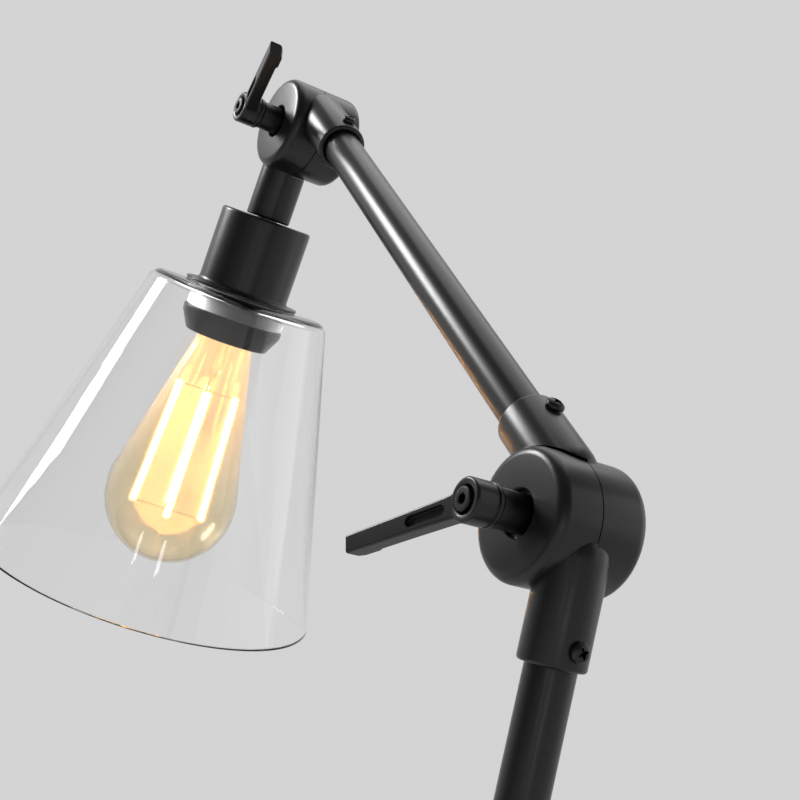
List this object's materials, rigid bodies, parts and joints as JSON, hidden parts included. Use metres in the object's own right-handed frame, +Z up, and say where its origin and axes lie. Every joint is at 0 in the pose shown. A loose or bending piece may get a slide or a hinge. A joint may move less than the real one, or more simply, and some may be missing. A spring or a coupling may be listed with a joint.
{
  "type": "desk lamp",
  "caption": "Black desk lamp with a round weighted base, swing arms joined by lever-clamped knuckles, and a tilting lamp holder with a clear tapered glass shade and filament bulb.",
  "frame": {"origin": "centre of the base's underside, on the surface the lamp stands on", "axes": "+Z up, X in the plane the arms swing in with the shade hanging towards -X, the clamping levers facing -Y"},
  "size_m": [0.397, 0.19, 0.6115],
  "materials": {
    "paint": "satin black powder coat on steel tube and spun sheet, with a fine speckle",
    "cast_paint": "satin black powder coat on die-cast aluminium",
    "lever_paint": "satin black coat on a die-cast clamping lever",
    "black_steel": "black oxide on machined steel",
    "zinc": "bright zinc plate on steel",
    "iron": "bare grey cast iron",
    "pad": "soft black foam rubber sheet",
    "rubber": "black moulded rubber",
    "fibre": "pressed dark fibre",
    "moulded": "black phenolic moulding, half gloss",
    "brass": "plain brass, slightly dulled",
    "clear_glass": "clear blown glass",
    "amber_glass": "clear glass with a gold tint",
    "filament": "yellow phosphor coat on a light-emitting filament"
  },
  "bodies": {
    "base": {"base_pad": "pad", "base_weight": "iron", "base_cover": "paint", "stem_washer": "zinc", "stem_nut": "zinc", "stem_tube": "paint", "cable_grommet": "rubber", "switch_body": "moulded", "switch_nut": "black_steel", "base_knuckle_rear": "cast_paint", "stem_screw": "black_steel", "base_friction_washer": "fibre"},
    "switch_button": {"switch_button": "moulded"},
    "base_clamp": {"base_clamp_stud": "black_steel", "base_lever_screw": "black_steel"},
    "base_lever": {"base_lever": "lever_paint"},
    "lower_arm": {"base_knuckle_front": "cast_paint", "lower_tube_screw_1": "black_steel", "lower_tube": "paint", "elbow_knuckle_front": "cast_paint", "lower_tube_screw_2": "black_steel"},
    "upper_arm": {"elbow_knuckle_rear": "cast_paint", "upper_tube_screw_1": "black_steel", "elbow_friction_washer": "fibre", "upper_tube": "paint", "head_knuckle_rear": "cast_paint", "upper_tube_screw_2": "black_steel", "head_friction_washer": "fibre"},
    "elbow_clamp": {"elbow_clamp_stud": "black_steel", "elbow_lever_screw": "black_steel"},
    "elbow_lever": {"elbow_lever": "lever_paint"},
    "head_clamp": {"head_clamp_stud": "black_steel", "head_lever_screw": "black_steel"},
    "head_lever": {"head_lever": "lever_paint"},
    "head": {"head_knuckle_front": "cast_paint", "neck_nipple": "zinc", "neck_nut": "zinc", "holder_cup": "paint", "holder_core": "moulded", "thread_shell": "brass", "centre_contact": "brass", "glass_shade": "clear_glass", "shade_ring": "moulded", "bulb_cap": "brass", "bulb_glass": "amber_glass", "bulb_mount": "clear_glass", "filament_1": "filament", "filament_2": "filament", "filament_3": "filament", "filament_4": "filament"}
  },
  "joints": [
    {"name": "base_tilt", "type": "hinge", "parent": "base", "child": "lower_arm", "pos_m": [0.012, 0, 0.0608], "axis": [0, 1, 0], "range_deg": [-23.5, 60]},
    {"name": "elbow_tilt", "type": "hinge", "parent": "lower_arm", "child": "upper_arm", "pos_m": [0.1094, 0, 0.3424], "axis": [0, 1, 0], "range_deg": [-60, 57]},
    {"name": "head_tilt", "type": "hinge", "parent": "upper_arm", "child": "head", "pos_m": [-0.05409, 0, 0.59035], "axis": [0, 1, 0], "range_deg": [-48, 108]},
    {"name": "base_clamp_turn", "type": "hinge", "parent": "base", "child": "base_clamp", "pos_m": [0.012, 0, 0.0608], "axis": [0, -1, 0], "range_deg": [0, 90]},
    {"name": "base_lever_lift", "type": "slide", "parent": "base_clamp", "child": "base_lever", "axis": [0, -1, 0], "range_m": [0, 0.003], "stiffness_N_per_m": 900, "springref_m": -0.002},
    {"name": "elbow_clamp_turn", "type": "hinge", "parent": "upper_arm", "child": "elbow_clamp", "pos_m": [0.1094, 0, 0.3424], "axis": [0, -1, 0], "range_deg": [0, 90]},
    {"name": "elbow_lever_lift", "type": "slide", "parent": "elbow_clamp", "child": "elbow_lever", "axis": [0, -1, 0], "range_m": [0, 0.003], "stiffness_N_per_m": 900, "springref_m": -0.002},
    {"name": "head_clamp_turn", "type": "hinge", "parent": "upper_arm", "child": "head_clamp", "pos_m": [-0.05409, 0, 0.59035], "axis": [0, -1, 0], "range_deg": [0, 90]},
    {"name": "head_lever_lift", "type": "slide", "parent": "head_clamp", "child": "head_lever", "axis": [0, -1, 0], "range_m": [0, 0.003], "stiffness_N_per_m": 900, "springref_m": -0.002},
    {"name": "switch_press", "type": "slide", "parent": "base", "child": "switch_button", "axis": [0, 0, -1], "range_m": [0, 0.0025], "stiffness_N_per_m": 800, "springref_m": -0.001}
  ]
}
